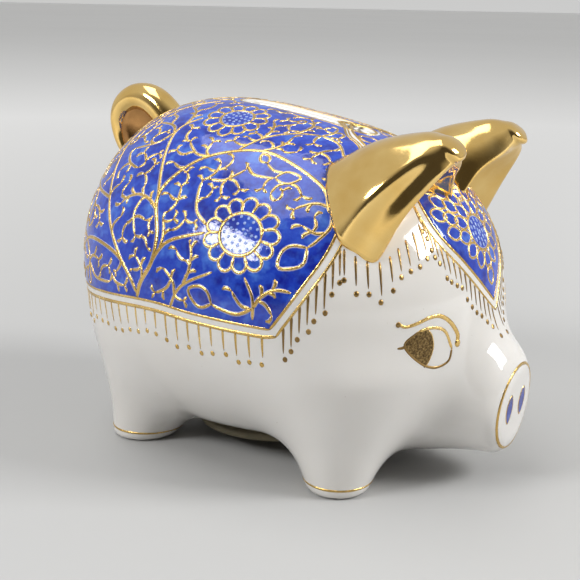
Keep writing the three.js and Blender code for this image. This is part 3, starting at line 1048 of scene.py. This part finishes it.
gold.mirror()
halo.mirror()
seeds.mirror()
circle = np.array([(4.6 * math.cos(a), 4.6 * math.sin(a)) for a in np.linspace(0, 2 * math.pi, 40)])
inlay(on_cap(circle)[:-1], 0.7, 0.4, closed=True)
for r, n in ((0.6, 3), (2.0, 8), (3.3, 12)):
    for k in range(n):
        a = 2 * math.pi * k / n
        seeds.dot(on_cap([(r * math.cos(a), r * math.sin(a))])[0], 0.4, 0.14, 0.14, squash=1.6)
SCALE = [(-2.3, 0.0), (-1.0, 1.45), (0.8, 1.65), (2.4, 0.0), (0.8, -1.65), (-1.0, -1.45)]
FIRST_ROW, ROW_STEP, SCALE_STEP = 7.1, 3.6, 3.7
for row in range(10):
    radius = FIRST_ROW + row * ROW_STEP
    n = max(int(round(2 * math.pi * radius / SCALE_STEP)), 8)
    for k in range(n):
        a = 2 * math.pi * (k + 0.5 * (row % 2)) / n
        out = np.array([math.cos(a), math.sin(a)])
        across = np.array([-out[1], out[0]])
        place = on_cap(out[None] * radius)
        if cap_region(place)[0] > -1.5 or place[0, 2] < 40.0:
            continue
        shape = [out * (radius + u) + across * v for u, v in SCALE]
        loop = on_cap(catmull(shape, 5, closed=True)[:-1])
        if (cap_region(loop) > -0.3).any():
            continue
        inlay(loop, 0.6, 0.35, 0.15, closed=True, step=0.6)
on_bank(gold.piece("gold_vine", LINE_GOLD), "gilding")
on_bank(halo.piece("enamel_edges", HALO), "porcelain")
on_bank(seeds.piece("flower_seeds", SEED), "porcelain")


def refine(points, tris, field, rounds=2):
    """Splits the triangles near a small outline so that its edge is smooth."""
    for _ in range(rounds):
        near = (field(points)[tris] < 1.6).any(1)
        work = tris[near]
        edges = np.sort(np.concatenate([work[:, [0, 1]], work[:, [1, 2]], work[:, [2, 0]]]), 1)
        pairs, inverse = np.unique(edges, axis=0, return_inverse=True)
        inverse = inverse.reshape(-1)
        mids = settle(skin, 0.5 * (points[pairs[:, 0]] + points[pairs[:, 1]]), 2)
        base = len(points)
        n = len(work)
        ab, bc, ca = (base + inverse[i * n:(i + 1) * n] for i in range(3))
        a, b, c = work[:, 0], work[:, 1], work[:, 2]
        tris = np.concatenate([np.stack(t, -1) for t in
                               ((a, ab, ca), (ab, b, bc), (ca, bc, c), (ab, bc, ca))])
        points = np.concatenate([points, mids])
    return points, tris


RIM_SHARPNESS = 3.0  # small coatings thin out over a third of the usual width


def front_patch(name, polygon, material, height, mirrored_too):
    """Coating on the front of the head inside a (y, z) outline."""
    near = skin_points[:, 0] > 40.0
    pick = near[skin_tris].all(1)
    poly = np.asarray(polygon, float)

    def field(p):
        y = -np.abs(p[:, 1]) if mirrored_too else p[:, 1]
        loop = np.concatenate([poly, poly[:1]])
        return polygon_distance(np.stack([y, p[:, 2]], -1), loop, np.zeros((0, 2)))

    pts, tri = refine(skin_points, skin_tris[pick], field)
    pts, tri = clip(pts, tri, field(pts))
    pts = settle(skin, pts, 1)
    top, faces = thick_patch(pts, tri, -field(pts) * RIM_SHARPNESS, height)
    on_bank(make_object(name, top, faces, material), "porcelain")


eye_loop = catmull(EYE, 8, closed=True)
iris_line = catmull(IRIS_SIDE, 6)
iris_loop = np.array([q for q in eye_loop if q[1] > 38.0 and q[0] < -24.2 or q[1] <= 38.0 and q[0] < -24.6])
order = np.argsort(np.arctan2(iris_loop[:, 1] - 39.0, iris_loop[:, 0] + 25.5) % (2 * math.pi))
iris_loop = iris_loop[order]
front_patch("irises", np.concatenate([iris_loop, iris_line[::-1][1:-1]]), IRIS, 0.1, True)
front_patch("nostril_right", near_nostril[:-1], NOSTRIL, 0.1, False)
front_patch("nostril_left", far_nostril[:-1], NOSTRIL, 0.1, False)

# ---------------------------- ears
# Right ear: lines from the head to the tip, in order round the section.
EAR_LINES = [
    [(39.5, -32.3, 59.6), (45.0, -31.0, 70.0), (50.9, -26.9, 78.9), (52.8, -23.4, 82.8)],
    [(35.0, -34.6, 61.5), (41.2, -32.6, 72.0), (48.4, -28.3, 80.6), (51.9, -24.6, 84.4)],
    [(30.6, -35.6, 65.5), (37.8, -34.3, 75.0), (45.8, -29.4, 83.0), (50.7, -24.5, 86.3)],
    [(24.0, -29.0, 75.5), (33.2, -27.0, 83.0), (43.6, -23.6, 87.3), (49.6, -22.6, 87.7)],
    [(21.8, -20.6, 80.1), (32.6, -17.5, 85.6), (44.2, -17.6, 88.2), (49.6, -19.6, 88.0)],
    [(29.5, -9.5, 81.5), (38.0, -10.0, 84.2), (46.6, -13.8, 86.0), (50.5, -17.0, 87.2)],
    [(39.0, -4.5, 78.0), (44.0, -7.3, 80.8), (49.6, -12.9, 83.6), (51.8, -16.3, 85.7)],
    [(45.2, -3.5, 71.4), (47.6, -8.0, 76.6), (51.3, -13.6, 80.6), (52.8, -16.9, 84.0)],
    [(43.2, -8.5, 73.0), (46.2, -11.8, 77.2), (50.8, -16.8, 80.4), (53.2, -18.6, 82.9)],
    [(40.8, -15.5, 72.5), (44.6, -17.4, 76.4), (50.4, -19.8, 80.0), (53.4, -20.6, 82.4)],
    [(40.6, -25.5, 65.5), (45.2, -26.2, 73.0), (50.8, -24.0, 79.0), (53.3, -22.2, 82.4)],
]
EAR_TIP = np.array([54.3, -20.6, 84.9])
EAR_ROOT = 1.5  # how far the ear is run into the head


def rings_to_mesh(rings):
    """Skin over a row of rings, closed with a fan at both ends."""
    n = len(rings[0])
    points = np.concatenate([np.concatenate(rings), [rings[0].mean(0)], [rings[-1].mean(0)]])
    faces = []
    for r in range(len(rings) - 1):
        for s in range(n):
            a, b = r * n + s, r * n + (s + 1) % n
            faces.append([a, b, b + n, a + n])
    first, last = len(rings) * n, len(rings) * n + 1
    top = (len(rings) - 1) * n
    for s in range(n):
        faces.append([first, (s + 1) % n, s])
        faces.append([last, top + s, top + (s + 1) % n])
    return points, faces


def ear_mesh():
    lines = [catmull(line, 12) for line in EAR_LINES]
    rings = []
    for i in range(len(lines[0])):
        keys = np.array([line[i] for line in lines])
        rings.append(catmull(keys, 8, closed=True)[:-1] + SHIFT)
    root = settle(skin, rings[0], 3)
    root = root - unit(gradient(skin, root)) * EAR_ROOT
    centre = rings[-1].mean(0)
    nose = EAR_TIP + SHIFT - centre
    dome = [centre + (rings[-1] - centre) * math.cos(a) + nose * math.sin(a)
            for a in (0.25, 0.5, 0.75, 1.0, 1.2, 1.4)]
    return rings_to_mesh([root] + rings + dome)


ear_points, ear_faces = ear_mesh()
right = make_object("gilded_ear_right", ear_points, ear_faces, MIRROR_GOLD)
left = make_object("gilded_ear_left", ear_points * np.array([1.0, -1.0, 1.0]),
                   [f[::-1] for f in ear_faces], MIRROR_GOLD)
on_bank(right, "gilding", "right_ear")
on_bank(left, "gilding", "left_ear")

# ---------------------------- tail
# Centre line in the plane y = 0: x and z, then the tube's radius there.
TAIL_PATH = [(-40.2, 80.4, 4.5), (-43.9, 85.7, 4.4), (-48.8, 89.2, 4.2), (-54.2, 89.8, 3.7),
             (-58.6, 87.6, 3.2), (-60.7, 83.8, 2.7), (-60.6, 79.8, 2.3), (-59.2, 76.1, 2.1),
             (-56.6, 73.0, 2.0), (-53.4, 70.6, 1.9)]
path = catmull(TAIL_PATH, 8)
along = unit(np.gradient(path[:, :2], axis=0))
turn = np.linspace(0.0, 2 * math.pi, 32, endpoint=False)[:, None]
tail_rings = []
for (x, z, r), (ax, az) in zip(path, along):
    circle = np.cos(turn) * np.array([-az, 0.0, ax]) - np.sin(turn) * np.array([0.0, 1.0, 0.0])
    tail_rings.append(np.array([x, 0.0, z]) + r * circle + SHIFT)
tail_points, tail_faces = rings_to_mesh(tail_rings)
on_bank(make_object("gilded_tail", tail_points, tail_faces, MIRROR_GOLD), "gilding", "tail")

# The curl is cast with a thin dished web across its eye.
eye = np.concatenate([path[:, :2], [(-48.0, 76.0), (-44.5, 79.5)]])
eye = even(np.concatenate([eye, eye[:1]]), 1.0)[:-1]
hub = eye.mean(0)
WEB = ((0.05, 0.4), (0.3, 0.5), (0.6, 0.9), (1.0, 2.1))  # share of the eye's size, half thickness
web_rings = []
for side, layers in ((-1, WEB), (1, WEB[::-1])):
    for scale, y in layers:
        flat = hub + (eye - hub) * scale
        web_rings.append(np.stack([flat[:, 0], np.full(len(flat), side * y), flat[:, 1]], -1) + SHIFT)
web_points, web_faces = rings_to_mesh(web_rings)
# The web's dark gold is painted shade and painted dark reflection.
on_bank(make_object("gilded_tail_web", web_points, web_faces, SHADE_PAINTED_GOLD), "gilding")


# ---------------------------- stopper
def turned(profile, n=96):
    rings = []
    for r, z in profile:
        a = np.linspace(0.0, 2 * math.pi, n, endpoint=False)
        rings.append(np.stack([PORT_X + r * np.cos(a), r * np.sin(a), np.full(n, z)], -1))
    return rings_to_mesh(rings)


flange = 0.5 * (stopper_hi[0] - stopper_lo[0])
low, high = stopper_lo[2], stopper_hi[2]
profile = [(2.0, low + 0.9), (14.0, low + 0.9), (15.0, low + 0.5), (16.2, low + 0.1), (flange - 1.4, low),
           (flange - 0.5, low + 0.25), (flange, low + 0.9), (flange, low + 1.7), (flange - 0.25, low + 2.2),
           (18.7, low + 2.2), (18.7, high - 1.4), (18.4, high - 0.4), (17.8, high), (16.9, high),
           (16.5, high - 0.5), (16.5, low + 3.0), (15.5, low + 2.4), (2.0, low + 2.4)]
stopper_points, stopper_faces = turned(profile)
stopper = make_object("stopper_plug", stopper_points, stopper_faces, RUBBER)
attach(stopper, "plug")
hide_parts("stopper")

# ---------------------------- studio
FLOOR_HALF, FLOOR_Z = 30000.0, -0.05
corners = [(x * FLOOR_HALF, y * FLOOR_HALF, FLOOR_Z) for x, y in ((-1, -1), (1, -1), (1, 1), (-1, 1))]
floor = make_object("studio_floor", corners, [(0, 1, 2, 3)], floor_material(), smooth=False)

# The room is pale, and darker on the side that the bank's right flank faces.
world = bpy.data.worlds.new("studio")
bpy.context.scene.world = world
world.use_nodes = True
tree = world.node_tree
coords = tree.nodes.new("ShaderNodeTexCoord")
toward = tree.nodes.new("ShaderNodeVectorMath")
toward.operation = "DOT_PRODUCT"
toward.inputs[1].default_value = (0.45, -0.87, -0.20)
shade = tree.nodes.new("ShaderNodeValToRGB")
for element, place, colour in zip(shade.color_ramp.elements, (0.05, 0.62),
                                  ((0.60, 0.60, 0.595, 1.0), (0.07, 0.065, 0.06, 1.0))):
    element.position = place
    element.color = colour
tree.links.new(coords.outputs["Generated"], toward.inputs[0])
tree.links.new(toward.outputs["Value"], shade.inputs["Fac"])
tree.links.new(shade.outputs["Color"], tree.nodes["Background"].inputs["Color"])
tree.nodes["Background"].inputs["Strength"].default_value = 1.0


def softbox(name, point, direction, distance, width, height, power):
    """Rectangular light seen from a point of the model in a direction."""
    light = bpy.data.lights.new(name, "AREA")
    light.shape = "RECTANGLE"
    light.size = width
    light.size_y = height
    light.energy = power
    lamp = bpy.data.objects.new(name, light)
    aim = Vector(point) * MM
    lamp.location = aim + Vector(direction).normalized() * distance
    lamp.rotation_euler = (aim - lamp.location).to_track_quat("-Z", "Y").to_euler()
    bpy.context.scene.collection.objects.link(lamp)


softbox("window_front", (50.0, -14.0, 68.0), (0.78, 0.27, 0.56), 0.75, 0.27, 0.24, 4.6)
softbox("window_side", (8.0, -42.0, 64.0), (-0.42, -0.72, 0.55), 0.80, 0.28, 0.17, 3.4)
softbox("ceiling", (0.0, 0.0, 60.0), (-0.25, -0.10, 1.0), 2.0, 1.7, 0.9, 13.0)
bpy.context.scene.view_settings.view_transform = "Standard"

# ---------------------------- camera
AZIMUTH, ELEVATION, ROLL = math.radians(30.6), math.radians(14.2), math.radians(1.0)
DISTANCE = 0.310  # metres from the target
TARGET = Vector((-0.0029, 0.0, 0.0402))
back = Vector((math.sin(AZIMUTH) * math.cos(ELEVATION), -math.cos(AZIMUTH) * math.cos(ELEVATION),
               math.sin(ELEVATION)))
level = Vector((math.cos(AZIMUTH), math.sin(AZIMUTH), 0.0))
upright = level.cross(-back)
across = level * math.cos(ROLL) + upright * math.sin(ROLL)
up = upright * math.cos(ROLL) - level * math.sin(ROLL)
camera_data = bpy.data.cameras.new("camera")
camera_data.sensor_width = 36.0
camera_data.lens = 70.2
camera_data.clip_start = 0.01
camera = bpy.data.objects.new("camera", camera_data)
matrix = np.eye(4)
matrix[:3, 0], matrix[:3, 1], matrix[:3, 2] = across, up, back
matrix[:3, 3] = TARGET + back * DISTANCE
camera.matrix_world = [list(map(float, column)) for column in matrix.T]
bpy.context.scene.collection.objects.link(camera)
bpy.context.scene.camera = camera
